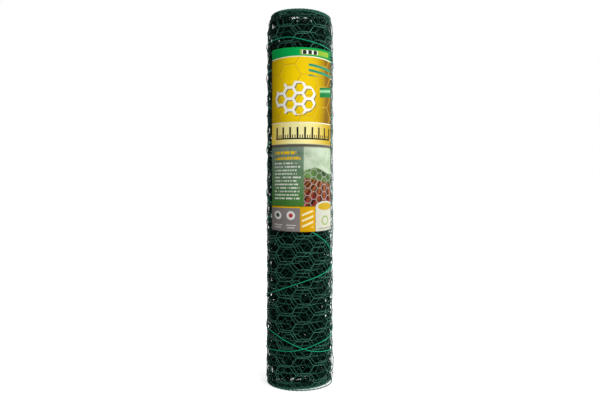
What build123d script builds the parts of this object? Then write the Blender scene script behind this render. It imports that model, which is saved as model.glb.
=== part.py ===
from build123d import *
import os
from math import cos, radians, sin, tan

# A roll of wire netting that stands on its end, tied with a long binding wire, with a card label.
# Millimetres, +Z up along the roll's axis, the front at -Y, the floor at z = 0.
# Angles go round the axis in degrees from the front, and grow towards +X.

# Netting roll
ROLL_HEIGHT = 609.6
ROLL_RADIUS = 55.5
BORE_RADIUS = 16.0
TURN_THICKNESS = 1.16
OUTER_TURN_SLIP = 3.5
RIDGES = 15
GROOVE_DEPTH = 1.6

# Binding wire
WIRE_DIAMETER = 1.2
WIRE_SIDES = 5
SEAT_GAP = 0.2
ARC_BULGE = 0.2
POINTS_PER_TURN = 12
CROSSING_REACH = 0.75
WIRE_START_ANGLE = 1630.0
WIRE_END_ANGLE = 4840.0

# Label
LABEL_LEFT_ANGLE = -49.5
LABEL_RIGHT_ANGLE = 59.5
LABEL_BOTTOM = 253.5
LABEL_TOP = 548.6
LABEL_THICKNESS = 0.4

# The binding wire's way down and then up again: angles counted from its first loop, and its heights there
STATION_ANGLES = [
    1600, 1740, 1782, 1865, 2073, 2433, 2585, 2793, 2833, 2899,
    2945, 3155, 3228, 3310, 3529, 3666, 3893, 4253, 4613, 4870,
]
STATION_HEIGHTS = [
    548.0, 563.3, 564.2, 550.1, 466.5, 318.0, 223.5, 95.1, 89.6, 63.2,
    58.1, 58.2, 63.2, 84.1, 148.9, 192.4, 275.5, 395.1, 514.7, 548.0,
]

INNER_TURNS_RADIUS = ROLL_RADIUS - TURN_THICKNESS
WIRE_RADIUS = WIRE_DIAMETER / 2
LOW_COURSE = ROLL_RADIUS + SEAT_GAP + WIRE_RADIUS
HIGH_COURSE = LOW_COURSE + WIRE_DIAMETER + SEAT_GAP + ARC_BULGE
LABEL_INNER = HIGH_COURSE + WIRE_RADIUS + SEAT_GAP + ARC_BULGE


def end_ridges(base, tip):
    """Points across the inner turns' end, from the bore outwards, with a groove after each ridge."""
    pitch = (INNER_TURNS_RADIUS - BORE_RADIUS) / RIDGES
    points = [(BORE_RADIUS, base)]
    for ridge in range(RIDGES):
        start = BORE_RADIUS + ridge * pitch
        points += [(start + pitch / 2, tip), (start + pitch, base)]
    return points


def make_netting_roll():
    """One turned solid: the inner turns, and the outer turn that has slipped down round them."""
    outer_turn_top = ROLL_HEIGHT - OUTER_TURN_SLIP
    bottom = end_ridges(OUTER_TURN_SLIP + GROOVE_DEPTH, OUTER_TURN_SLIP)
    top = end_ridges(ROLL_HEIGHT - GROOVE_DEPTH, ROLL_HEIGHT)
    outer_turn = [
        (INNER_TURNS_RADIUS, 0),
        (ROLL_RADIUS, 0),
        (ROLL_RADIUS, outer_turn_top),
        (INNER_TURNS_RADIUS, outer_turn_top),
    ]
    outline = bottom + outer_turn + top[::-1]
    section = Plane.XZ * make_face(Polyline(*outline, close=True))
    return revolve(section, Axis.Z, 360)


def wire_height(angle):
    """Height of the binding wire at an angle along its course, on straight lines between stations."""
    stations = list(zip(STATION_ANGLES, STATION_HEIGHTS))
    for (low, start), (high, end) in zip(stations, stations[1:]):
        if low <= angle <= high:
            return start + (end - start) * (angle - low) / (high - low)
    raise ValueError(f"no station beside {angle}")


def crossing_angles():
    """Angles at which the rising wire passes over the falling wire laid before it."""
    found = []
    angle = WIRE_START_ANGLE + 360
    while angle <= WIRE_END_ANGLE:
        below = angle - 360
        while below >= WIRE_START_ANGLE:
            now = wire_height(angle) - wire_height(below)
            before = wire_height(angle - 1) - wire_height(below - 1) if below - 1 >= WIRE_START_ANGLE else now
            if now * before <= 0 and now != before:
                found.append(angle)
            below -= 360
        angle += 1
    return found


def wire_path():
    """The wire's middle line as straight runs joined by tangent arcs, down and then up over itself."""
    step = 360 / POINTS_PER_TURN
    corners = round((WIRE_END_ANGLE - WIRE_START_ANGLE) / step)
    angles = [WIRE_START_ANGLE + (index + 0.5) * step for index in range(corners)]
    crossings = crossing_angles()

    def point(angle, outward):
        crosses = any(abs(angle - crossing) <= step * CROSSING_REACH for crossing in crossings)
        radius = (HIGH_COURSE if crosses else LOW_COURSE) * outward
        return Vector(radius * sin(radians(angle)), -radius * cos(radians(angle)), wire_height(angle))

    points = [point(angle, 1 / cos(radians(step / 2))) for angle in angles]
    points = [point(angles[0] - step / 2, 1), *points, point(angles[-1] + step / 2, 1)]
    runs = [b - a for a, b in zip(points, points[1:])]
    radii = []
    for before, after in zip(runs, runs[1:]):
        half_turn = radians(before.get_angle(after)) / 2
        radii.append(0.45 * min(before.length, after.length) / tan(half_turn))
    print("wire arcs from", round(min(radii), 1), "to", round(max(radii), 1))
    return FilletPolyline(*points, radius=radii)


def make_binding_wire():
    """One wire swept along its path, with few sides to keep its facets down."""
    path = wire_path()
    section = Plane(path @ 0, z_dir=path % 0) * RegularPolygon(WIRE_RADIUS, WIRE_SIDES)
    wire = sweep(section, path=path)
    expected = section.area * path.length
    print("wire length", round(path.length), "volume", round(wire.volume), "of", round(expected))
    return wire


def make_label():
    """A card bent round the front of the roll, clear of the wire's highest crossings."""
    card = Rectangle(LABEL_THICKNESS, LABEL_TOP - LABEL_BOTTOM, align=Align.MIN)
    section = Plane.XZ * Pos(LABEL_INNER, LABEL_BOTTOM) * card
    bent = revolve(section, Axis.Z, LABEL_RIGHT_ANGLE - LABEL_LEFT_ANGLE)
    return Rot(0, 0, LABEL_LEFT_ANGLE - 90) * bent


os.makedirs("parts", exist_ok=True)
export_step(make_netting_roll(), "parts/netting_roll.step")
export_step(make_binding_wire(), "parts/binding_wire.step")
export_step(make_label(), "parts/label.step")
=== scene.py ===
"""Looks of a roll of coated hexagonal wire netting, tied with a binding wire, with a card label.

Metres, +Z up along the roll's axis, the front at -Y. Angles go round the axis from the front, and
grow towards +X. The netting is made flat, as rows of wires along its length, and then rolled up.
"""
import logging
import math
from dataclasses import dataclass
from enum import Enum
from typing import Any

import bpy
import numpy as np
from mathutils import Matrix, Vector


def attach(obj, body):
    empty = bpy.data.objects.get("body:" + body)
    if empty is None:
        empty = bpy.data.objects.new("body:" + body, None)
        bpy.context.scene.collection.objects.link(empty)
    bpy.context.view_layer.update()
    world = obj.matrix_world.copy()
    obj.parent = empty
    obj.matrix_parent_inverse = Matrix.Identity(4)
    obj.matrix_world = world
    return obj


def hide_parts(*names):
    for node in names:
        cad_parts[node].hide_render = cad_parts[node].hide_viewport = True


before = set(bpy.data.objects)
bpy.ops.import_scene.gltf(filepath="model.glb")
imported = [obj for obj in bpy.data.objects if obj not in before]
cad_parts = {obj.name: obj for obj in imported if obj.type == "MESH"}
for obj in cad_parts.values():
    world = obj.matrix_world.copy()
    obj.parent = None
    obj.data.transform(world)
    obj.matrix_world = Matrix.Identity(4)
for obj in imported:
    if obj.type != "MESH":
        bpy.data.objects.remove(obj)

LOG = logging.getLogger("roll")
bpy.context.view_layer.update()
MM = 0.001
BODY = "root"
WHITE = (1.0, 1.0, 1.0, 1.0)

# Places on the print, in millimetres, for shapes that run past the card's edges
OFF_LOW = -9.0
OFF_HIGH = 999.0

Colour = tuple[float, float, float]
Place = tuple[float, float, float]


# Meshes made from arrays

@dataclass
class Surface:
    """Vertices and quads that wait to become one mesh."""

    points: np.ndarray
    quads: np.ndarray
    caps: list[np.ndarray]

    def joined(self, other: "Surface") -> "Surface":
        """This surface and another one as a single surface.

        Args:
            other: The surface to add.

        Returns:
            A surface with the points and faces of both.
        """
        shift = len(self.points)
        caps = self.caps + [cap + shift for cap in other.caps]
        points = np.concatenate([self.points, other.points])
        return Surface(points, np.concatenate([self.quads, other.quads + shift]), caps)

    def to_object(self, name: str, material: bpy.types.Material) -> bpy.types.Object:
        """Make the mesh object, smooth shaded, with one material.

        Args:
            name: The object's name.
            material: The material of every face.

        Returns:
            The new object, linked to the scene.
        """
        cap_loops = [cap.reshape(-1) for cap in self.caps]
        cap_sizes = [np.full(len(cap), cap.shape[1]) for cap in self.caps]
        loops = np.concatenate([self.quads.reshape(-1), *cap_loops]).astype(np.int32)
        sizes = np.concatenate([np.full(len(self.quads), 4), *cap_sizes]).astype(np.int32)
        starts = np.concatenate([[0], np.cumsum(sizes)[:-1]]).astype(np.int32)
        mesh = bpy.data.meshes.new(name)
        mesh.vertices.add(len(self.points))
        mesh.vertices.foreach_set("co", self.points.astype(np.float32).reshape(-1))
        mesh.loops.add(len(loops))
        mesh.loops.foreach_set("vertex_index", loops)
        mesh.polygons.add(len(sizes))
        mesh.polygons.foreach_set("loop_start", starts)
        mesh.polygons.foreach_set("use_smooth", np.ones(len(sizes), dtype=bool))
        mesh.update(calc_edges=True)
        mesh.validate()
        mesh.materials.append(material)
        made = bpy.data.objects.new(name, mesh)
        bpy.context.collection.objects.link(made)
        return made


def unit(vectors: np.ndarray) -> np.ndarray:
    """Vectors of length one that point the same way."""
    return vectors / np.linalg.norm(vectors, axis=-1, keepdims=True)


def outwards(angles: np.ndarray) -> np.ndarray:
    """Level vectors of length one away from the axis, at angles in radians."""
    return np.stack([np.sin(angles), -np.cos(angles), np.zeros_like(angles)], -1)


def smooth(share: np.ndarray) -> np.ndarray:
    """A share from 0 to 1 with eased ends."""
    return share * share * (3 - 2 * share)


def facing(angles: np.ndarray, side: float) -> np.ndarray:
    """How much an angle in radians faces a side in degrees: 1 there, and 0 over the far half."""
    return np.clip(np.cos(angles - math.radians(side)), 0, 1)


def tubes(centres: np.ndarray, outward: np.ndarray, radius: float | np.ndarray, sides: int) -> Surface:
    """Round tubes along many lines at once, closed at both ends.

    A ring of points stands square to each line at every centre, turned from the outward direction,
    and quads join each ring to the next.

    Args:
        centres: Points of the lines, as (line, step, xyz).
        outward: A direction across each line at every point, of the same shape.
        radius: The tubes' radius, or one for every centre.
        sides: How many points a ring has.

    Returns:
        One surface that holds every tube.
    """
    lines, steps, _ = centres.shape
    along = unit(np.gradient(centres, axis=1))
    across = unit(np.cross(along, outward))
    up = np.cross(across, along)
    turn = np.arange(sides) * (2 * math.pi / sides)
    ring = up[:, :, None] * np.cos(turn)[:, None] + across[:, :, None] * np.sin(turn)[:, None]
    reach = np.broadcast_to(radius, (lines, steps))[..., None, None]
    points = (centres[:, :, None] + reach * ring).reshape(-1, 3)
    index = np.arange(lines * steps * sides).reshape(lines, steps, sides)
    here, after = index[:, :-1], index[:, 1:]
    quads = np.stack([here, after, np.roll(after, -1, 2), np.roll(here, -1, 2)], -1)
    return Surface(points, quads.reshape(-1, 4), [index[:, 0], index[:, -1, ::-1]])


# The netting

class Detail(Enum):
    """How finely a stretch of netting is made.

    The numbers are the sides of a wire, the steps of a twist, the steps of a slope and the radius.
    Hidden wires are thicker than those in sight, so that the roll looks as dense as it is.
    """

    FACE = (6, 14, 4, 0.38 * MM)
    NEAR = (4, 10, 3, 0.4 * MM)
    DEEP = (3, 8, 2, 0.95 * MM)
    CORE = (3, 6, 2, 1.1 * MM)


@dataclass
class RollShape:
    """How the wound netting departs from a plain spiral.

    The outermost turn has slipped down, and the rows of each turn lie a little off the last one's.
    The right side bulges, and flares at its foot in the outer turns, while the left one tapers
    upwards. Both ends are drawn in, and the rim leans. Sides are angles in degrees, and turns are
    counted inwards from the free end.
    """

    height: float
    slip: float = 3.2 * MM
    slip_lean: float = 2.0 * MM
    slip_lean_side: float = 110.0
    slip_from: float = 300 * MM
    slip_over: float = 90 * MM
    wander: float = 0.4 * MM
    wander_drop: float = 1.2
    wander_rates: tuple = (13.1, 23.7)
    drift: float = 1.6 * MM
    drift_from: float = 150 * MM
    drift_over: float = 600 * MM
    drift_most: float = 2.5
    drift_rates: tuple = ((11.3, 9.0), (17.9, -13.0))
    turn_shifts: tuple = ((0.6, 1.3, 2.3, 3.3, 4.3, 5.3, 6.3), (0, 3.4, -2.6, 5.6, -5.2, 1.4, 6.5))
    full_turns: float = 0.8
    bulge_side: float = 98.0
    flare: float = 3.0 * MM
    flare_turns: float = 3.0
    flare_height: float = 26 * MM
    flare_reach: float = 20 * MM
    bulge: float = 1.8 * MM
    bulge_turns: float = 14.0
    bulge_foot: float = 0.25
    bulge_head: float = 0.04
    bulge_wave: float = 0.25
    bulge_rate: float = 70.0
    taper: float = 1.7 * MM
    taper_middle: float = 0.35
    foot_pinch: float = 1.8 * MM
    foot_reach: float = 9 * MM
    top_pinch: float = 6.5 * MM
    top_pinch_eased: float = 0.65
    shoulder: float = 19.0 * MM
    top_rise: float = 1.0 * MM
    top_lean: float = 4.2 * MM
    top_lean_side: float = -60.0
    ripple: float = 0.25 * MM
    ripple_rates: tuple = (3.0, 21.0, 50.0)
    off_centre: float = 0.3 * MM
    off_centre_from: float = 0.6

    def draw(self, rng: np.random.Generator) -> None:
        """Draw where each slow wave starts."""
        starts = rng.uniform(0, 2 * math.pi, 7)
        self.wander_starts, self.drift_starts, self.ripple_starts, self.bulge_start = np.split(
            starts, [2, 4, 6])

    def at_top(self, height: np.ndarray) -> np.ndarray:
        """How far into the rounded shoulder a height lies, from 0 below it to 1 at the rim."""
        return np.clip(1 - (self.height - height) / self.shoulder, 0, 1) ** 2

    def within(self, turns: np.ndarray, last: float) -> np.ndarray:
        """1 in the outermost turn, falling to 0 at a last one."""
        return np.clip((last - turns) / (last - self.full_turns), 0, 1)

    def push(self, along: np.ndarray, height: np.ndarray, where: np.ndarray, turns: np.ndarray,
             outer: np.ndarray) -> np.ndarray:
        """How far outwards the shape moves the netting.

        The bulge is a power of the cosine from its side, times a slow wave up the roll, and the
        flare is one times a bell curve of the height. The taper is straight in the height, the foot
        draws in exponentially, and the shoulder as a square. The ripple is a product of two sines.

        Args:
            along: Distances along the netting.
            height: Heights above its lower edge.
            where: Angles round the axis.
            turns: Turns from the free end.
            outer: Shares of the way from the bore to the outside.

        Returns:
            The move outwards at every point.
        """
        share = height / self.height
        side = facing(where, self.bulge_side)
        foot = np.exp(-(((height - self.flare_height) / self.flare_reach) ** 2))
        flare = self.flare * self.within(turns, self.flare_turns) * side**3 * foot
        body = np.clip(share / self.bulge_foot, 0, 1) * np.clip((1 - share) / self.bulge_head, 0, 1)
        wave = 1 - self.bulge_wave * (1 - np.sin(self.bulge_rate * height + self.bulge_start))
        bulge = self.bulge * self.within(turns, self.bulge_turns) * side**4 * body * wave
        taper = self.taper * facing(where, -90) * (share - self.taper_middle)
        foot_pinch = self.foot_pinch * np.exp(-np.clip(height, 0, None) / self.foot_reach)
        eased = 1 - self.top_pinch_eased * facing(where, 90)
        top_pinch = self.top_pinch * eased * self.at_top(height) * outer**2
        around, upwards, onwards = self.ripple_rates
        first, second = self.ripple_starts
        ripple = np.sin(around * where + upwards * height + first) * np.sin(onwards * along + second)
        return self.ripple * ripple + flare + bulge - taper - foot_pinch - top_pinch

    def rise(self, along: np.ndarray, height: np.ndarray, where: np.ndarray,
             turns: np.ndarray) -> np.ndarray:
        """How far upwards the shape moves the netting.

        The inner turns stand above the slipped one by an eased step, whose size changes as the
        cosine round the axis, with a wander of two sines. The rows drift by two sines and by a
        shift for each turn, and by nothing at the two edges. The rim leans as a cosine.

        Args:
            along: Distances along the netting.
            height: Heights above its lower edge.
            where: Angles round the axis.
            turns: Turns from the free end.

        Returns:
            The move upwards at every point.
        """
        step = np.clip((along - self.slip_from) / self.slip_over, 0, 1)
        lean = self.slip_lean * np.cos(where - math.radians(self.slip_lean_side))
        wander = sum(np.sin(along * rate + start)
                     for rate, start in zip(self.wander_rates, self.wander_starts))
        above = (self.slip + lean) * smooth(step) + self.wander * step * (wander - self.wander_drop)
        share = np.clip(height / self.height, 0, 1)
        inside = np.sin(math.pi * share)
        settled = np.clip((along - self.drift_from) / self.drift_over, 0, self.drift_most)
        drift = sum(np.sin(along * rate + slant * share + start)
                    for (rate, slant), start in zip(self.drift_rates, self.drift_starts))
        shift = np.interp(turns, *self.turn_shifts) * MM
        rows = inside * settled * self.drift * drift + np.sqrt(inside) * shift
        rim = self.top_rise + self.top_lean * np.cos(where - math.radians(self.top_lean_side))
        return above + rows + self.at_top(height) * rim


@dataclass
class Netting:
    """Hexagonal netting of straight-lying wires that pair up in twists, rolled into a spiral.

    Wire k runs along the length between level k and level k + 1. It lies on one of the two in each
    column, twisted with the wire above or below, and slopes to the other one before the next column.
    Each twist has its own small offset along, up and outwards. It grows over some columns from the
    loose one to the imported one.
    """

    length: float = 7620 * MM
    column_pitch: float = 28.8 * MM
    pulled_from: int = 14
    pulled_by: float = 0.62 * MM
    twist_length: float = 19.4 * MM
    level_pitch: float = 13.6 * MM
    wires: int = 45
    edge_height: float = 1.1 * MM
    first_level: float = 11.2 * MM
    top_edge: float = 605.1 * MM
    twist_turns: float = 2.0
    twist_closeness: float = 0.8
    slope_ease: float = 0.3
    outer_radius: float = 55.3 * MM
    inner_radius: float = 17.0 * MM
    tight_share: float = 0.3
    spiral_steps: int = 2000
    free_end_angle: float = math.radians(184.7)
    selvage_radius: float = 0.52 * MM
    selvage_lay: float = 14 * MM
    selvage_steps: tuple = (2 * MM, 3.5 * MM)
    loose: tuple = (0.6 * MM, 0.45 * MM, 0.3 * MM)
    packed: tuple = (5.0 * MM, 4.4 * MM, 0.5 * MM)
    packed_from: int = 24
    packed_over: int = 60
    end_spread: float = 0.4
    end_spread_reach: float = 45 * MM
    end_margin: float = 4 * MM
    most_offset: float = 9 * MM
    end_radius: float = 0.42 * MM
    end_growth: float = 0.022
    seed: int = 24

    def __post_init__(self) -> None:
        """Work out the levels, the spiral, each twist's offset and the roll's shape.

        The radius falls slowly in the outer turns and faster in the inner ones, as a straight share
        and a squared share of the way wound.
        """
        slack = self.pulled_from * self.pulled_by
        self.columns = int((self.length + slack) / (self.column_pitch + self.pulled_by))
        inner = self.first_level + self.level_pitch * np.arange(self.wires - 1)
        self.levels = np.concatenate([[self.edge_height], inner, [self.top_edge]])
        depth = self.outer_radius - self.inner_radius
        loose_share = self.tight_share / 2 + (1 - self.tight_share) / 3
        turns = self.length / (2 * math.pi * (self.outer_radius - depth * loose_share))
        wound = np.linspace(0, 1, self.spiral_steps + 1)
        self.turned_table = wound * turns * 2 * math.pi
        self.radius_table = self.outer_radius - depth * (
            self.tight_share * wound + (1 - self.tight_share) * wound**2)
        steps = np.diff(self.turned_table) * (self.radius_table[1:] + self.radius_table[:-1]) / 2
        self.along_table = np.concatenate([[0], np.cumsum(steps)])
        rng = np.random.default_rng(self.seed)
        loose, packed = np.array(self.loose), np.array(self.packed)
        ends = self.columns + 2
        share = np.clip((np.arange(ends) - self.packed_from) / self.packed_over, 0, 1)
        spread = loose + (packed - loose) * share[:, None, None]
        self.offsets = rng.normal(0, 1, (ends, self.wires + 1, 3)) * spread
        inside = np.minimum(self.levels, self.top_edge - self.levels)
        self.offsets[:, :, 0] *= 1 + self.end_spread * np.exp(-inside / self.end_spread_reach)
        reach = np.clip(inside - self.end_margin, 0, self.most_offset)
        self.offsets[:, :, 1] = np.clip(self.offsets[:, :, 1], -reach, reach)
        self.shape = RollShape(self.top_edge)
        self.shape.draw(rng)

    def place(self, column: np.ndarray) -> np.ndarray:
        """How far along a column stands. Past the first turn the columns are pulled apart a little."""
        return column * self.column_pitch + np.maximum(column - self.pulled_from, 0) * self.pulled_by

    def rolled(self, along: np.ndarray, height: np.ndarray,
               out: np.ndarray) -> tuple[np.ndarray, np.ndarray]:
        """Roll flat positions up, along the spiral and into the roll's shape.

        Args:
            along: Distances along the netting.
            height: Heights above its lower edge.
            out: Offsets outwards from the middle of the sheet.

        Returns:
            The points in space, and the outward direction at each of them.
        """
        turned = np.interp(along, self.along_table, self.turned_table)
        radius = np.interp(along, self.along_table, self.radius_table)
        where = self.free_end_angle + turned
        turns = turned / (2 * math.pi)
        outer = (radius - self.inner_radius) / (self.outer_radius - self.inner_radius)
        radius = radius + out + self.shape.push(along, height, where, turns, outer)
        outward = outwards(where)
        points = outward * radius[..., None]
        points[..., 0] -= self.shape.off_centre * np.clip(turns - self.shape.off_centre_from, 0, 1)
        points[..., 2] = height + self.shape.rise(along, height, where, turns)
        return points, outward

    def stretch(self, first: int, last: int, detail: Detail) -> Surface:
        """The wires of some columns.

        In a twist two wires wind round a common line, as sine and cosine of an angle that grows
        along it. On a slope the height goes from one level to the next with eased ends.

        Args:
            first: The first column.
            last: The column to stop at.
            detail: How finely the wires are made.

        Returns:
            The surface of all the wires between the two columns.
        """
        sides, twist_steps, slope_steps, strand = detail.value
        column = np.arange(first, last)
        wire = np.arange(self.wires)[:, None]
        low = (wire + column) % 2 == 0
        level, after = np.where(low, wire, wire + 1), np.where(low, wire + 1, wire)
        here, there = self.offsets[column, level], self.offsets[column + 1, after]
        side = np.where(low, 1.0, -1.0)[..., None]
        half = self.twist_length / 2
        start = (self.place(column) + here[..., 0])[..., None]
        end = (self.place(column + 1) + there[..., 0])[..., None]
        base = (self.levels[level] + here[..., 1])[..., None]
        goal = (self.levels[after] + there[..., 1])[..., None]
        share = np.arange(twist_steps) / twist_steps
        phase = side * math.pi / 2 + 2 * math.pi * self.twist_turns * share
        reach = strand * self.twist_closeness
        run = np.arange(slope_steps) / slope_steps
        eased = (1 - self.slope_ease) * run + self.slope_ease * smooth(run)
        out_here, out_there = here[..., 2:], there[..., 2:]
        along = [start + (share * 2 - 1) * half, start + half + (end - start - 2 * half) * run]
        begin = base + side * reach
        height = [base + reach * np.sin(phase), begin + (goal - side * reach - begin) * eased]
        out = [out_here + reach * np.cos(phase), out_here + (out_there - out_here) * run]
        flat = [np.concatenate(pair, -1).reshape(self.wires, -1) for pair in (along, height, out)]
        tail = [end[:, -1] - half, (goal - side * reach)[:, -1], out_there[:, -1]]
        flat = [np.concatenate([rows, stop], 1) for rows, stop in zip(flat, tail)]
        points, outward = self.rolled(*flat)
        return tubes(points, outward, self.thinned(flat[1], strand), sides)

    def thinned(self, height: np.ndarray, strand: float) -> np.ndarray:
        """A wire's radius, at its real size near both ends and growing to a hidden wire's inwards."""
        end = np.clip(np.minimum(height, self.top_edge - height), 0, None)
        return np.minimum(strand, self.end_radius + self.end_growth * end)

    def edge(self, height: float, first: int, last: int, detail: Detail) -> Surface:
        """The selvage along one edge, as two strands wound round each other.

        Args:
            height: The edge's height.
            first: The first column.
            last: The column to stop at.
            detail: How finely the netting beside it is made.

        Returns:
            The surface of the two strands.
        """
        sides, strand = detail.value[0], self.selvage_radius
        step = self.selvage_steps[0 if detail in (Detail.FACE, Detail.NEAR) else 1]
        begin, end = self.place(np.array([first, last]))
        along = np.linspace(begin, end, int((end - begin) / step) + 1)
        along = np.stack([along, along])
        phase = 2 * math.pi * along / self.selvage_lay + np.array([[0], [math.pi]])
        tall = height + strand * np.sin(phase)
        points, outward = self.rolled(along, tall, strand * np.cos(phase))
        return tubes(points, outward, strand, sides)

    def build(self, material: bpy.types.Material) -> list[bpy.types.Object]:
        """Make the netting in stretches, finest outside.

        Args:
            material: The coated wire's material.

        Returns:
            One object for each stretch.
        """
        plan = [
            ("netting_turn_1", 0, 12, Detail.FACE), ("netting_turns_2_3", 12, 36, Detail.NEAR),
            ("netting_turns_4_5", 36, 58, Detail.NEAR), ("netting_turns_6_8", 58, 94, Detail.DEEP),
            ("netting_turns_9_13", 94, 150, Detail.CORE), ("netting_turns_14_20", 150, 206, Detail.CORE),
            ("netting_inner_turns", 206, self.columns, Detail.CORE),
        ]
        made = []
        for name, first, last, detail in plan:
            surface = self.stretch(first, last, detail)
            for height in (self.edge_height, self.top_edge):
                surface = surface.joined(self.edge(height, first, last, detail))
            made.append(surface.to_object(name, material))
        return made


# The binding wire

@dataclass
class BindingWire:
    """One wire wound down and then up round the roll, over itself where the two ways cross.

    A station is an angle in degrees, counted on from the first loop, and a height in millimetres.
    """

    radius: float = 0.6 * MM
    seat: float = 55.2 * MM
    pressed: float = 0.8 * MM
    wobble: float = 0.12 * MM
    wobble_rate: float = 6.1
    smoothing: int = 5
    start: float = 1630.0
    end: float = 4840.0
    step: float = 2.5
    sides: int = 8
    crossing_reach: float = 13.0
    crossing_lift: float = 2.2
    stations: tuple = (
        (1600, 548), (1740, 563.3), (1782, 564.3), (1809, 558.7), (1842, 553.2), (1865, 550.2),
        (2073, 466.5), (2433, 318), (2541, 253.4), (2570, 236.5), (2585, 223.5), (2793, 95.1),
        (2832, 89.6), (2874, 72.2), (2899, 63.2), (2919, 60.6), (2945, 58), (3155, 58.2),
        (3199, 62.4), (3228, 63.2), (3269, 73.8), (3299, 79.6), (3311, 84), (3529, 148.8), (3560, 158.7),
        (3606, 174.4), (3666, 192.2), (3893, 275.5), (4253, 395.2), (4613, 514.7), (4870, 548),
    )

    def route(self) -> tuple[np.ndarray, np.ndarray, np.ndarray]:
        """Angles, heights and radii along the wire.

        Heights run straight between the stations and are then averaged over a short way. The wire
        is pressed in at the right side. Where it passes over an earlier turn, its radius rises in
        a bell shape.

        Returns:
            The angles in degrees, and the heights and radii in metres.
        """
        angles = np.arange(self.start, self.end + self.step, self.step)
        known = np.array(self.stations, dtype=float)
        heights = np.interp(angles, known[:, 0], known[:, 1]) * MM
        window = np.ones(self.smoothing) / self.smoothing
        margin = self.smoothing // 2
        heights[margin:-margin] = np.convolve(heights, window, "valid")
        pressed = self.pressed * facing(np.radians(angles), 90) ** 4
        wobble = self.wobble * np.sin(np.radians(angles * self.wobble_rate))
        radii = self.seat + self.radius + wobble - pressed
        turn = int(360 / self.step)
        for lag in range(turn, len(angles), turn):
            apart = heights[lag:] - heights[:-lag]
            for index in np.nonzero(apart[:-1] * apart[1:] < 0)[0] + lag:
                bell = np.exp(-(((angles - angles[index]) / self.crossing_reach) ** 2))
                radii += self.crossing_lift * self.radius * bell
        return angles, heights, radii

    def line(self) -> tuple[np.ndarray, np.ndarray]:
        """The wire's middle line.

        Returns:
            Its points in space, and the outward direction along it.
        """
        angles, heights, radii = self.route()
        outward = outwards(np.radians(angles))
        points = outward * radii[:, None]
        points[:, 2] = heights
        return points, outward

    def build(self, material: bpy.types.Material) -> bpy.types.Object:
        """Make the wire as one tube.

        Args:
            material: The bright coated wire's material.

        Returns:
            The wire's object.
        """
        points, outward = self.line()
        return tubes(points[None], outward[None], self.radius, self.sides).to_object(
            "binding_wire_round", material)


# The label

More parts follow.
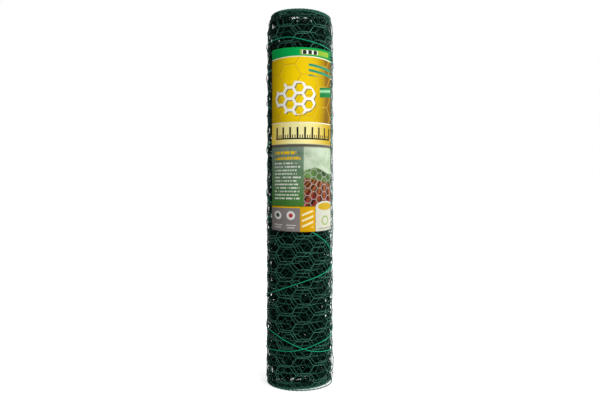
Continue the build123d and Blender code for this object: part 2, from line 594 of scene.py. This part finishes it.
@dataclass
class CardLabel:
    """A printed card bent round the roll's front, pulled in between the wires that it covers.

    Its sides are angles in degrees.
    """

    left: float = -51.8
    right: float = 62.8
    bottom: float = 253.5 * MM
    top: float = 547.0 * MM
    corner_lift: float = 3.2 * MM
    thickness: float = 0.35 * MM
    rest_radius: float = 56.1 * MM
    wire_reach: float = 7.0 * MM
    wire_gap: float = 0.05 * MM
    covered_angle: float = 85.0
    covered_beyond: float = 20 * MM
    wave: float = 0.18 * MM
    wave_rates: tuple = (5.0, 30.0, 47.0)
    side_lift: float = 0.5 * MM
    side_reach: float = 4.0
    columns: int = 90
    rows: int = 130

    def inner_radius(self, angles: np.ndarray, heights: np.ndarray, wire: BindingWire) -> np.ndarray:
        """How far the card's inner side stands from the axis.

        The card has slow waves and slightly lifted sides, and a bell-shaped ridge over each wire.

        Args:
            angles: Angles of the grid's points in degrees, as (row, column).
            heights: Their heights.
            wire: The binding wire below the card.

        Returns:
            The radius at every point of the grid.
        """
        route, tall, radii = wire.route()
        turned = (route + 180) % 360 - 180
        beyond = np.maximum(self.bottom - tall, tall - self.top)
        near = (np.abs(turned) < self.covered_angle) & (beyond < self.covered_beyond)
        turned, tall, radii = turned[near], tall[near], radii[near]
        gap = np.hypot(
            np.radians(angles[..., None] - turned) * self.rest_radius, heights[..., None] - tall)
        rise = radii + wire.radius + self.wire_gap - self.rest_radius
        ridge = np.max(rise * np.exp(-((gap / self.wire_reach) ** 2)), axis=-1)
        around, slant, upwards = self.wave_rates
        first = np.sin(np.radians(angles * around) + slant * heights)
        wave = self.wave * first * np.sin(upwards * heights + 1)
        side = np.minimum(angles - self.left, self.right - angles)
        lifted = self.side_lift * np.exp(-side / self.side_reach)
        return self.rest_radius + ridge + wave + lifted

    def build(self, front: bpy.types.Material, back: bpy.types.Material,
              wire: BindingWire) -> bpy.types.Object:
        """Make the card with its print laid over the outer side, and its lower corners cut upwards.

        Args:
            front: The printed side's material.
            back: The plain side's and the cut edges' material.
            wire: The binding wire below the card.

        Returns:
            The card's object.
        """
        across = np.linspace(0, 1, self.columns + 1)
        upward = np.linspace(0, 1, self.rows + 1)
        share, rise = np.meshgrid(across, upward)
        angles = self.left + (self.right - self.left) * share
        heights = self.bottom + (self.top - self.bottom) * rise
        heights += self.corner_lift * (2 * share - 1) ** 2 * (1 - rise) ** 6
        inner = self.inner_radius(angles, heights, wire)
        way = outwards(np.radians(angles))
        sheets = []
        for radius in (inner + self.thickness, inner):
            sheet = way * radius[..., None]
            sheet[..., 2] = heights
            sheets.append(sheet.reshape(-1, 3))
        index = np.arange(share.size).reshape(share.shape)
        outer = np.stack(
            [index[:-1, :-1], index[:-1, 1:], index[1:, 1:], index[1:, :-1]], -1).reshape(-1, 4)
        under = outer[:, ::-1] + share.size
        rim = np.concatenate(
            [index[0], index[1:, -1], index[-1, -2::-1], index[-2:0:-1, 0]])
        nxt = np.roll(rim, -1)
        edge = np.stack([rim, rim + share.size, nxt + share.size, nxt], -1)
        quads = np.concatenate([outer, under, edge])
        card = Surface(np.concatenate(sheets), quads, []).to_object("label_card", front)
        mesh = card.data
        mesh.materials.append(back)
        slots = np.concatenate([np.zeros(len(outer)), np.ones(len(under) + len(edge))])
        mesh.polygons.foreach_set("material_index", slots.astype(np.int32))
        mesh.polygons.foreach_set("use_smooth", np.arange(len(quads)) < len(outer) + len(under))
        place = np.tile(np.stack([share, rise], -1).reshape(-1, 2), (2, 1))
        layer = mesh.uv_layers.new(name="print")
        corner = np.empty(len(mesh.loops), dtype=np.int32)
        mesh.loops.foreach_get("vertex_index", corner)
        layer.data.foreach_set("uv", place[corner].astype(np.float32).reshape(-1))
        return card


# Shader arithmetic

class Graph:
    """The node tree of a material or a world, with one way to add a node."""

    def __init__(self, owner: bpy.types.Material | bpy.types.World) -> None:
        """Start with an empty tree.

        Args:
            owner: The material or the world.
        """
        owner.use_nodes = True
        self.owner = owner
        self.tree = owner.node_tree
        self.tree.nodes.clear()

    def node(self, kind: str, settings: dict[str, Any] | None = None,
             values: dict[Any, Any] | None = None) -> bpy.types.Node:
        """Add a node.

        Args:
            kind: The node's type.
            settings: Its properties.
            values: What its inputs get, each a number, a colour or another node's output.

        Returns:
            The new node.
        """
        made = self.tree.nodes.new(kind)
        for key, value in (settings or {}).items():
            setattr(made, key, value)
        for key, value in (values or {}).items():
            value = value.socket if isinstance(value, Value) else value
            if isinstance(value, bpy.types.NodeSocket):
                self.tree.links.new(value, made.inputs[key])
            else:
                made.inputs[key].default_value = value
        return made

    def value(self, socket: bpy.types.NodeSocket) -> "Value":
        """Wrap an output for arithmetic."""
        return Value(self, socket)

    def mix(self, share: "Value | float", first: Any, second: Any) -> Any:
        """Blend two colours.

        Args:
            share: How much of the second one.
            first: A colour or a colour output.
            second: A colour or a colour output.

        Returns:
            The blended colour's output.
        """
        first, second = [(*c, 1.0) if isinstance(c, tuple) else c for c in (first, second)]
        values = {0: share, 6: first, 7: second}
        return self.node("ShaderNodeMix", {"data_type": "RGBA"}, values).outputs[2]

    def noise(self, where: Any, scale: float, detail: float = 3.0) -> "Value":
        """Noise from 0 to 1 over a coordinate."""
        values = {"Vector": where, "Scale": scale, "Detail": detail}
        return self.value(self.node("ShaderNodeTexNoise", None, values).outputs[0])

    def bump(self, height: "Value", strength: float, distance: float) -> bpy.types.NodeSocket:
        """A normal that is tilted by a height."""
        values = {"Strength": strength, "Distance": distance, "Height": height}
        return self.node("ShaderNodeBump", None, values).outputs[0]

    def finished(self, kind: str, shader: bpy.types.Node) -> bpy.types.Material | bpy.types.World:
        """Lead a shader to the tree's output.

        Args:
            kind: The output node's type.
            shader: The last shader node.

        Returns:
            The tree's material or world.
        """
        self.node(kind, None, {"Surface": shader.outputs[0]})
        return self.owner

    def surface(self, values: dict[str, Any]) -> bpy.types.Material:
        """Finish the material with one Principled shader.

        Args:
            values: What the shader's inputs get.

        Returns:
            The material.
        """
        shader = self.node("ShaderNodeBsdfPrincipled", None, values)
        return self.finished("ShaderNodeOutputMaterial", shader)


class Value:
    """A number that varies over the surface. Each operation adds one node."""

    def __init__(self, graph: Graph, socket: bpy.types.NodeSocket) -> None:
        """Wrap a socket of a graph."""
        self.graph = graph
        self.socket = socket

    def math(self, operation: str, *others: Any) -> "Value":
        """This value through a Math node."""
        values = dict(enumerate((self, *others)))
        return Value(self.graph, self.graph.node(
            "ShaderNodeMath", {"operation": operation}, values).outputs[0])

    def __add__(self, other: Any) -> "Value":
        """Sum."""
        return self.math("ADD", other)

    __radd__ = __add__

    def __sub__(self, other: Any) -> "Value":
        """Difference."""
        return self.math("SUBTRACT", other)

    def __rsub__(self, other: Any) -> "Value":
        """Difference from a number."""
        return (self * -1).math("ADD", other)

    def __mul__(self, other: Any) -> "Value":
        """Product."""
        return self.math("MULTIPLY", other)

    __rmul__ = __mul__

    def __truediv__(self, other: Any) -> "Value":
        """Quotient."""
        return self.math("DIVIDE", other)

    def __abs__(self) -> "Value":
        """Size without sign."""
        return self.math("ABSOLUTE")

    def sine(self) -> "Value":
        """Sine."""
        return self.math("SINE")

    def wrapped(self, period: float) -> "Value":
        """Remainder within a period, from 0 up."""
        return self.math("WRAP", period, 0.0)

    def largest(self, other: Any) -> "Value":
        """The larger one."""
        return self.math("MAXIMUM", other)

    def smallest(self, other: Any) -> "Value":
        """The smaller one."""
        return self.math("MINIMUM", other)

    def above(self, edge: Any, soft: float) -> "Value":
        """1 where this is over an edge and 0 where it is under, with a soft step between."""
        return ((self - edge) / (2 * soft) + 0.5).clamped()

    def clamped(self) -> "Value":
        """Held between 0 and 1."""
        return self.largest(0.0).smallest(1.0)


# The coats and the plain card

@dataclass(frozen=True)
class VinylFinish:
    """Vinyl coat on wire, with a slow change of tone and a fine uneven skin.

    Where shade is over 0, the coat is mixed towards a dark tone inwards from the outside. This is painted
    shade for the less light that falls inside the roll, and it is left out near both ends.
    """

    name: str
    tone: Colour
    dark_tone: Colour
    roughness: float = 0.33
    roughness_spread: float = 0.2
    gloss: float = 0.04
    patch_scale: float = 45.0
    patch_from: float = 0.35
    patch_contrast: float = 2.2
    skin_scale: float = 900.0
    skin_strength: float = 0.12
    skin_depth: float = 0.2 * MM
    shade: float = 0.0
    painted_shade_tone: Colour = (0.0, 0.011, 0.005)
    shade_from: float = 55.2 * MM
    shade_over: float = 2.8 * MM
    open_end: float = 10.0 * MM
    open_share: float = 0.2
    height: float = 609.6 * MM

    def depth(self, graph: Graph, where: bpy.types.NodeSocket) -> Value:
        """How far a point lies inside the roll.

        Args:
            graph: The material that it is worked out in.
            where: The point's place.

        Returns:
            0 at the outside and near both ends, growing to 1: the share of painted shade.
        """
        x, y, z = (graph.value(part) for part in graph.node(
            "ShaderNodeSeparateXYZ", None, {0: where}).outputs)
        radius = (x * x + y * y).math("SQRT")
        inside = ((self.shade_from - radius) / self.shade_over).clamped()
        end = z.smallest(self.height - z)
        return inside * (end / self.open_end - self.open_share).clamped()

    def make(self) -> bpy.types.Material:
        """Make the material.

        Returns:
            The coat.
        """
        graph = Graph(bpy.data.materials.new(self.name))
        where = graph.node("ShaderNodeTexCoord").outputs["Object"]
        patch = (graph.noise(where, self.patch_scale) - self.patch_from) * self.patch_contrast
        colour = graph.mix(patch, self.dark_tone, self.tone)
        # Painted shade: the coat darkens towards the roll's inside.
        if self.shade:
            colour = graph.mix(self.depth(graph, where) * self.shade, colour, self.painted_shade_tone)
        skin = graph.noise(where, self.skin_scale, 2.0)
        least = self.roughness - self.roughness_spread / 2
        return graph.surface({
            "Base Color": colour, "Roughness": skin * self.roughness_spread + least,
            "Normal": graph.bump(skin, self.skin_strength, self.skin_depth),
            "Specular IOR Level": self.gloss})


@dataclass(frozen=True)
class PlainCardFinish:
    """Unprinted pale card with fibres of a darker tone."""

    tone: Colour = (0.62, 0.6, 0.54)
    dark_share: float = 0.85
    fibre_scale: float = 600.0
    roughness: float = 0.8

    def make(self) -> bpy.types.Material:
        """Make the material.

        Returns:
            The card's plain side.
        """
        graph = Graph(bpy.data.materials.new("plain_card"))
        fibre = graph.noise(graph.node("ShaderNodeTexCoord").outputs["Object"], self.fibre_scale)
        dark = tuple(self.dark_share * part for part in self.tone)
        return graph.surface({
            "Base Color": graph.mix(fibre, self.tone, dark), "Roughness": self.roughness})


# The print

def paint(code: str) -> Colour:
    """A linear colour.

    Args:
        code: The colour on a screen, as six hex digits.

    Returns:
        Its red, green and blue light.
    """
    parts = np.array([int(code[start:start + 2], 16) for start in (0, 2, 4)]) / 255
    linear = np.where(parts <= 0.04045, parts / 12.92, ((parts + 0.055) / 1.055) ** 2.4)
    return tuple(float(part) for part in linear)


@dataclass(frozen=True)
class Box:
    """An upright rectangle on the card, by its sides and its lower and upper edge."""

    left: float
    right: float
    low: float
    high: float


class Sheet:
    """Drawing on the card, in millimetres across from its left edge and up from its bottom.

    A mask is a value of 1 where a shape is and 0 elsewhere.
    """

    def __init__(self, graph: Graph, width: float, height: float) -> None:
        """Read the card's own coordinates.

        Args:
            graph: The material that is drawn in.
            width: The card's width.
            height: The card's height.
        """
        self.graph = graph
        coordinate = graph.node("ShaderNodeTexCoord").outputs["UV"]
        parts = graph.node("ShaderNodeSeparateXYZ", None, {0: coordinate})
        self.x = graph.value(parts.outputs[0]) * width
        self.y = graph.value(parts.outputs[1]) * height
        self.ink: Any = (1.0, 1.0, 1.0)

    def lay(self, mask: Value, colour: Any) -> None:
        """Print a colour, or a screen colour's code, where a mask is 1."""
        self.ink = self.graph.mix(mask, self.ink, paint(colour) if isinstance(colour, str) else colour)

    def blend(self, share: Value, first: str, second: str) -> Any:
        """A blend of two screen colours, by how much of the second one."""
        return self.graph.mix(share, paint(first), paint(second))

    def point(self) -> bpy.types.NodeSocket:
        """The place on the card as a vector, for noise."""
        return self.graph.node("ShaderNodeCombineXYZ", None, {0: self.x, 1: self.y}).outputs[0]

    def box(self, left: float, right: float, low: float, high: float, soft: float = 0.3) -> Value:
        """Mask of an upright rectangle, as the larger of the distances past its sides.

        Args:
            left: Its left side.
            right: Its right side.
            low: Its lower edge.
            high: Its upper edge.
            soft: Half of the width over which it fades.

        Returns:
            The mask.
        """
        beside = abs(self.x - (left + right) / 2) - (right - left) / 2
        above = abs(self.y - (low + high) / 2) - (high - low) / 2
        return (beside.largest(above) * -1).above(0.0, soft)

    def inside(self, area: Box) -> Value:
        """Mask of a named rectangle."""
        return self.box(area.left, area.right, area.low, area.high)

    def band(self, low: float, high: float, soft: float = 0.3) -> Value:
        """Mask of a band across the whole card."""
        return self.box(OFF_LOW, OFF_HIGH, low, high, soft)

    def from_middle(self, x: float, y: float, wide: float, tall: float) -> Value:
        """Square of the distance from a middle point, as a share of an ellipse's half sizes."""
        across, up = (self.x - x) / wide, (self.y - y) / tall
        return across * across + up * up

    def oval(self, x: float, y: float, wide: float, tall: float, soft: float = 0.3) -> Value:
        """Mask of an ellipse, by its middle and half sizes."""
        return (1 - self.from_middle(x, y, wide, tall).math("SQRT")).above(0.0, soft / wide)

    def painted_light_falloff(self, x: float, y: float, wide: float, tall: float) -> Value:
        """Falloff for painted shade: 1 at a middle point, easing to 0 on an ellipse round it."""
        return (1 - self.from_middle(x, y, wide, tall)).clamped()

    def stripes(self, across: Any, pitch: float, half: float, soft: float = 0.3) -> Value:
        """Mask of stripes over a value, by their pitch and half width."""
        return (half - abs(across.wrapped(pitch) - pitch / 2)).above(0.0, soft)

    def uneven(self, x: Any, y: Any) -> Value:
        """Plain noise from 0 to 1 at a place that is worked out."""
        place = self.graph.node("ShaderNodeCombineXYZ", None, {0: x, 1: y}).outputs[0]
        return self.graph.noise(place, 1.0, 0.0)

    def hexagon(self, x: Any, y: Any, size: float) -> Value:
        """Distance from the middle of a flat-topped hexagon, as a share of its height: 0.5 at its sides."""
        across, up = abs(x) * (1 / size), abs(y) * (1 / size)
        return up.largest(up * 0.5 + across * (math.sqrt(3) / 2))

    def comb(self, size: float, shift_x: float, shift_y: float) -> Value:
        """Distance from a honeycomb's walls.

        The plane is covered twice with rectangles, the second set moved by half of one, and the
        nearer rectangle's middle is the cell's middle.

        Args:
            size: The distance between a cell's flat sides.
            shift_x: How far the pattern moves to the right.
            shift_y: How far it moves up.

        Returns:
            The distance to the nearest wall.
        """
        tall, wide = size, size * math.sqrt(3)
        first = [(self.x - shift_x).wrapped(wide) - wide / 2, (self.y - shift_y).wrapped(tall) - tall / 2]
        second = [(self.x - shift_x - wide / 2).wrapped(wide) - wide / 2,
                  (self.y - shift_y - tall / 2).wrapped(tall) - tall / 2]
        reach = self.hexagon(*first, size).smallest(self.hexagon(*second, size))
        return (0.5 - reach) * size

    def walls(self, size: float, width: float, soft: float, *shift: float) -> Value:
        """Mask of the walls of a shifted honeycomb, by its cells' size and the walls' width."""
        return (width / 2 - self.comb(size, *shift)).above(0.0, soft)


@dataclass(frozen=True)
class PrintedCardFinish:
    """A glossy print of plain shapes: a green head, a yellow comb, a pale scale and a landscape.

    Every shape is a generic one. The rows of short bars stand where such a card has small print. The head,
    the yellow ground and the pale band also carry painted shade towards the card's sides, most at the
    right.
    """

    width: float = 113.5
    height: float = 293.5
    head: float = 280.0
    head_bow: float = 2.6
    head_line: float = 1.4
    plate: Box = Box(52, 106, 282, 290)
    plate_row: Box = Box(55, 82, 280, 295)
    plate_middle: float = 286.0
    plate_pitch: float = 9.0
    comb: float = 33.0
    motif: tuple = (44, 213, 35, 27)
    motif_comb: float = 18.0
    teal_bars: Box = Box(66, 112, 248, 268)
    tube: Box = Box(86, 125, 205, 250)
    tube_middle: float = 211.0
    tube_slope: float = 0.14
    scale_low: float = 140.3
    scale_high: float = 173.6
    fine_marks: Box = Box(10, 110, 149, 155)
    coarse_marks: Box = Box(10, 110, 149, 167)
    scale_line: Box = Box(10, 108, 147.4, 149.6)
    mark_pitches: tuple = (4.0, 12.0)
    picture: float = 58.0
    skyline: float = 97.0
    field_edge: float = 86.0
    vanishing_point: tuple = (96, 105)
    flower_top: float = 62.0
    netting_comb: float = 12.0
    rows: Box = Box(7, 55, 50, 111)
    row_pitch: float = 5.6
    row_least: float = 32.0
    row_spread: float = 34.0
    heading_height: float = 4.5
    headings: tuple = ((124.0, 46.0), (115.0, 53.0))
    foot: float = 41.0
    grey_right: float = 52.0
    gold_right: float = 77.0
    gold_stripes: Box = Box(55, 74, 7, 34)
    disc_height: float = 26.0
    disc_radii: tuple = (7.0, 3.4)
    discs: tuple = ((14.0, "3e5a46"), (37.0, "b8343c"))
    tag_middle: float = 98.0
    tag_line: Box = Box(84, 112, 3.5, 5)
    fibre_scale: float = 1.4
    fibre_share: float = 0.02
    fibre_strength: float = 0.08
    fibre_depth: float = 0.3 * MM
    roughness: float = 0.4
    roughness_spread: float = 0.12
    gloss: float = 0.04

    def yellow_field(self, sheet: Sheet) -> None:
        """Print a yellow ground with a comb, a white netting motif, teal bars and a green tube. The ground
        darkens to ochre towards the sides, most at the right, as painted shade.

        Args:
            sheet: The card.
        """
        # Painted shade: the yellow ground darkens to ochre away from a middle left of centre.
        sheet.ink = sheet.blend(sheet.painted_light_falloff(43, 228, 58, 150), "805c00", "ffd900")
        sheet.lay(sheet.walls(self.comb, 1.6, 0.5, 6, 3) * 0.5, "b98500")
        sheet.lay(sheet.walls(self.comb, 0.8, 0.4, 7, 2) * 0.4, "ffe25a")
        x, y, wide, tall = self.motif
        for shift, tone, share in ((1.8, "6f6a5c", 0.75), (0.0, "fdfdf6", 1.0)):
            near = sheet.oval(x + shift, y - shift, wide, tall, 0.6)
            walls = sheet.walls(self.motif_comb, 4.2, 0.35, 4 + shift, 5 - shift)
            sheet.lay(near * walls * share, tone)
        bars = sheet.stripes(sheet.y + sheet.x * 0.12, 9.0, 2.0, 0.4)
        sheet.lay(sheet.inside(self.teal_bars) * bars, "1f8f6c")
        lean = sheet.y - sheet.x * self.tube_slope
        tube = sheet.inside(self.tube) * (8 - abs(lean - self.tube_middle)).above(0.0, 0.4)
        shine = (1 - abs(lean - (self.tube_middle + 2)) * 0.3).clamped()
        sheet.lay(tube, sheet.blend(shine, "0c7a3c", "9fd8a8"))

    def header(self, sheet: Sheet) -> None:
        """Print a green head with a bowed lower edge and a row of cells. The head darkens towards the right
        as painted shade.

        Args:
            sheet: The card.
        """
        middle = self.width / 2
        bow = (sheet.x - middle) * (1 / middle)
        edge = sheet.y + bow * bow * self.head_bow
        sheet.lay(edge.above(self.head - self.head_line, 0.3), "f6f3d8")
        # Painted shade: the head darkens towards the right.
        dim = (bow * 0.9).clamped()
        sheet.lay(edge.above(self.head, 0.3), sheet.blend(dim, "00a64e", "007736"))
        sheet.lay(sheet.inside(self.plate), "88b236")
        row = (3.1 - abs(sheet.y - self.plate_middle)).above(0.0, 0.3) * sheet.inside(self.plate_row)
        sheet.lay(row, "f4f4ee")
        cells = sheet.stripes(sheet.x - self.plate_row.left, self.plate_pitch, 3.0)
        sheet.lay(row * cells, "20251f")

    def scale(self, sheet: Sheet) -> None:
        """Print a pale band with the black marks of a measuring scale. The band is palest in its middle and
        darker towards its sides, most at the right, as painted shade.

        Each coarse mark stands over a fine one.

        Args:
            sheet: The card.
        """
        low, high = self.scale_low, self.scale_high
        sheet.lay(sheet.band(low - 2, high + 1.2), "fffbe2")
        sheet.lay(sheet.band(low - 5, low, 1.2), "5c5848")
        # Painted shade: the pale band darkens towards its sides and further towards the right.
        pale = sheet.blend(sheet.painted_light_falloff(50, 162, 50, 70), "ffdc46", "fff6ae")
        dim = ((sheet.x - 62) / 60).clamped()
        sheet.lay(sheet.band(low, high), sheet.graph.mix(dim, pale, paint("96790a")))
        across = sheet.x - self.fine_marks.left
        fine, coarse = self.mark_pitches
        sheet.lay(sheet.stripes(across, fine, 0.8) * sheet.inside(self.fine_marks), "2a2720")
        marks = (1.5 - abs(across.wrapped(coarse) - fine / 2)).above(0.0, 0.3)
        sheet.lay(marks * sheet.inside(self.coarse_marks), "1a1812")
        sheet.lay(sheet.inside(self.scale_line), "1a1812")

    def landscape(self, sheet: Sheet) -> None:
        """Print soft green ground at the left, and at the right a ploughed field behind netting.

        Args:
            sheet: The card.
        """
        graph = sheet.graph
        haze = graph.noise(sheet.point(), 0.05, 4.0)
        base = sheet.band(self.foot, self.scale_low - 4)
        rise = ((sheet.y - self.foot) * 0.0105).clamped()
        bush = ((haze - 0.45) * 3.0).clamped() * 0.5
        sheet.lay(base, graph.mix(bush, sheet.blend(rise, "3f7a2c", "7f9182"), paint("2c5424")))
        side = sheet.x.above(self.picture, 0.6) * base
        sheet.lay(side, sheet.blend(((haze - 0.4) * 3.0).clamped(), "c6d5ba", "97b18a"))
        far = self.skyline + (sheet.x * 0.085 + 1.2).sine() * 5 + (haze - 0.5) * 8
        wood = (far - sheet.y).above(0.0, 0.8)
        sheet.lay(wood * side, sheet.blend(((haze - 0.4) * 4.0).clamped(), "2f4a26", "6d8f52"))
        near = self.field_edge - (sheet.x - self.picture) * 0.16 + (haze - 0.5) * 5
        field = (near - sheet.y).above(0.0, 0.6)
        across, up = self.vanishing_point
        lean = (sheet.x - across) / (up - sheet.y)
        furrow = ((lean * 22 + haze * 3).sine() * 0.5 + 0.5).clamped()
        soil = sheet.blend(((sheet.y - self.foot) * 0.02).clamped(), "78361a", "a8673f")
        sheet.lay(field * side, graph.mix(furrow, paint("34140b"), soil))
        petals = graph.noise(sheet.point(), 0.34, 0.0).above(0.66, 0.03)
        sheet.lay(petals * side * (self.flower_top - sheet.y).above(0.0, 3.0), "b3223c")
        sheet.lay(sheet.walls(self.netting_comb, 0.9, 0.35, 2, 4) * side * 0.75, "c2c4bb")

    def bars(self, sheet: Sheet) -> None:
        """Print rows of short white bars of uneven length, with two yellow rows above them.

        Args:
            sheet: The card.
        """
        row = (sheet.y * (1 / self.row_pitch)).math("FLOOR")
        words = sheet.uneven(sheet.x * 0.5, row * 7.3).above(0.43, 0.04)
        reach = sheet.uneven(0.0, row * 3.7) * self.row_spread + self.row_least
        rows = sheet.stripes(sheet.y, self.row_pitch, 1.25) * sheet.inside(self.rows)
        sheet.lay(words * rows * (reach - sheet.x).above(0.0, 0.3) * 0.85, "eef1e6")
        for low, right in self.headings:
            heading = sheet.box(self.rows.left, right, low, low + self.heading_height)
            sheet.lay(heading * words, "f2c61c")

    def foot_blocks(self, sheet: Sheet) -> None:
        """Print a grey block with two discs, a golden square with stripes and a tag with a cell.

        Args:
            sheet: The card.
        """
        foot, grey, gold = self.foot, self.grey_right, self.gold_right
        sheet.lay(sheet.box(OFF_LOW, grey, OFF_LOW, foot - 3), "867f7d")
        sheet.lay(sheet.box(OFF_LOW, grey, foot - 3, foot - 1), "e8b90e")
        outer, inner = self.disc_radii
        for x, tone in self.discs:
            sheet.lay(sheet.oval(x, self.disc_height, outer, outer), "e6e4df")
            sheet.lay(sheet.oval(x, self.disc_height, inner, inner), tone)
            for half, low in ((8, 9.5), (6, 5.5)):
                sheet.lay(sheet.box(x - half, x + half, low, low + 1.5), "d6d2cc")
        sheet.lay(sheet.box(grey, gold, OFF_LOW, foot - 1), "d9a406")
        slant = sheet.stripes(sheet.y - sheet.x * 0.4, 9.0, 1.7, 0.4)
        sheet.lay(slant * sheet.inside(self.gold_stripes), "f5e7b4")
        middle = self.tag_middle
        tag = sheet.box(middle - 20, middle + 20, OFF_LOW, foot - 1)
        sheet.lay(sheet.oval(middle, foot - 1, 20, 9).largest(tag), "cdcdbc")
        sheet.lay(sheet.oval(middle, foot - 1, 15.5, 6.2), "c4a224")
        cell = sheet.hexagon(sheet.x - middle, sheet.y - 17, 15)
        sheet.lay((0.5 - cell).above(0.0, 0.03) * cell.above(0.36, 0.03), "8fae5a")
        sheet.lay(sheet.inside(self.tag_line), "8d8b80")

    def make(self) -> bpy.types.Material:
        """Make the material.

        Returns:
            The card's printed side.
        """
        graph = Graph(bpy.data.materials.new("printed_card"))
        sheet = Sheet(graph, self.width, self.height)
        self.yellow_field(sheet)
        self.header(sheet)
        self.landscape(sheet)
        self.bars(sheet)
        self.scale(sheet)
        self.foot_blocks(sheet)
        fibre = graph.noise(sheet.point(), self.fibre_scale, 4.0)
        return graph.surface({
            "Base Color": graph.mix(fibre * self.fibre_share, sheet.ink, paint("8a8270")),
            "Roughness": fibre * self.roughness_spread + self.roughness,
            "Normal": graph.bump(fibre, self.fibre_strength, self.fibre_depth),
            "Specular IOR Level": self.gloss})


# The studio

@dataclass(frozen=True)
class Lamp:
    """A soft square lamp: where it stands, its width and its power in watts."""

    name: str
    place: Place
    size: float
    power: float


@dataclass
class Studio:
    """Camera, lamps, floor and background."""

    camera_distance: float = 0.9385
    camera_height: float = 0.3048
    lens: float = 33.36
    sensor: float = 36.0
    shift: tuple[float, float] = (0.00067, -0.0004)
    near_clip: float = 10 * MM
    aim: Place = (0, 0, 0.3)
    lamps: tuple = (
        Lamp("key", (0.85, -1.45, 1.55), 1.1, 35.0), Lamp("side", (1.5, 0.1, 0.6), 0.8, 12.0),
        Lamp("back", (0.7, 1.45, 1.2), 1.0, 16.0),
    )
    fill: float = 0.06
    floor_size: float = 6.0
    floor_grey: float = 0.8
    floor_glow: float = 1.65
    glow_least: float = 0.4
    glow_growth: float = 1.4

    def build(self) -> None:
        """Set the view transform and make everything round the roll."""
        scene = bpy.context.scene
        scene.view_settings.view_transform = "Standard"
        scene.camera = self.camera()
        for lamp in self.lamps:
            self.light(lamp)
        scene.world = self.world()
        self.floor()

    def camera(self) -> bpy.types.Object:
        """Place a level camera in front of the roll.

        Returns:
            The camera.
        """
        data = bpy.data.cameras.new("camera")
        data.lens = self.lens
        data.sensor_width = self.sensor
        data.shift_x, data.shift_y = self.shift
        data.clip_start = self.near_clip
        camera = bpy.data.objects.new("camera", data)
        camera.location = (0, -self.camera_distance, self.camera_height)
        camera.rotation_euler = (math.pi / 2, 0, 0)
        bpy.context.scene.collection.objects.link(camera)
        return camera

    def light(self, lamp: Lamp) -> None:
        """Add a lamp that points at the roll's middle.

        Args:
            lamp: Its place, size and power.
        """
        data = bpy.data.lights.new(lamp.name, "AREA")
        data.size = lamp.size
        data.energy = lamp.power
        made = bpy.data.objects.new(lamp.name, data)
        made.location = lamp.place
        way = Vector(self.aim) - Vector(lamp.place)
        made.rotation_euler = way.to_track_quat("-Z", "Y").to_euler()
        bpy.context.scene.collection.objects.link(made)

    def world(self) -> bpy.types.World:
        """White for the camera and in reflections, and a plain fill light elsewhere.

        Returns:
            The world.
        """
        graph = Graph(bpy.data.worlds.new("studio"))
        rays = graph.node("ShaderNodeLightPath").outputs
        seen = graph.value(rays["Is Camera Ray"]).largest(rays["Is Glossy Ray"])
        share = seen.largest(rays["Is Transmission Ray"])
        dim, white = (graph.node("ShaderNodeBackground", None, {"Color": WHITE, "Strength": strength})
                      for strength in (self.fill, 1.0))
        mix = graph.node("ShaderNodeMixShader", None, {0: share, 1: dim.outputs[0], 2: white.outputs[0]})
        return graph.finished("ShaderNodeOutputWorld", mix)

    def floor(self) -> None:
        """Lay a white floor that keeps a light shadow near the roll, and glows white away from it."""
        graph = Graph(bpy.data.materials.new("floor"))
        camera = graph.value(graph.node("ShaderNodeLightPath").outputs["Is Camera Ray"])
        where = graph.node("ShaderNodeTexCoord").outputs["Object"]
        reach = graph.value(graph.node(
            "ShaderNodeVectorMath", {"operation": "LENGTH"}, {0: where}).outputs["Value"])
        share = camera * (reach * self.glow_growth + self.glow_least).smallest(1.0)
        grey = (self.floor_grey, self.floor_grey, self.floor_grey, 1.0)
        matt = graph.node("ShaderNodeBsdfDiffuse", None, {"Color": grey})
        glow = graph.node("ShaderNodeEmission", None, {"Color": WHITE, "Strength": self.floor_glow})
        mix = graph.node("ShaderNodeMixShader", None, {0: share, 1: matt.outputs[0], 2: glow.outputs[0]})
        material = graph.finished("ShaderNodeOutputMaterial", mix)
        half = self.floor_size / 2
        corners = np.array([[-half, -half, 0], [half, -half, 0], [half, half, 0], [-half, half, 0]])
        made = Surface(corners, np.array([[0, 1, 2, 3]]), []).to_object("floor", material)


def finish_piece(piece: bpy.types.Object, node: str) -> None:
    """Hand a piece to the frame and report it.

    Args:
        piece: The visual piece.
        node: The CAD node that it stands for.
    """
    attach(piece, BODY)
    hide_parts(node)
    faces = sum(len(face.vertices) - 2 for face in piece.data.polygons)
    LOG.info("%s: %d triangles", piece.name, faces)


def main() -> None:
    """Build the studio and every piece of the roll, in order."""
    logging.basicConfig(level=logging.INFO, format="%(message)s")
    Studio().build()
    coat = VinylFinish("vinyl_netting", (0.062, 0.218, 0.158), (0.041, 0.148, 0.107), shade=0.97).make()
    bright = VinylFinish("vinyl_binding", (0.0135, 0.47, 0.245), (0.01, 0.35, 0.175), 0.28).make()
    for piece in Netting().build(coat):
        finish_piece(piece, "netting_roll")
    wire = BindingWire()
    finish_piece(wire.build(bright), "binding_wire")
    plain = PlainCardFinish().make()
    card = CardLabel().build(PrintedCardFinish().make(), plain, wire)
    finish_piece(card, "label")


if __name__ == "__main__":
    main()
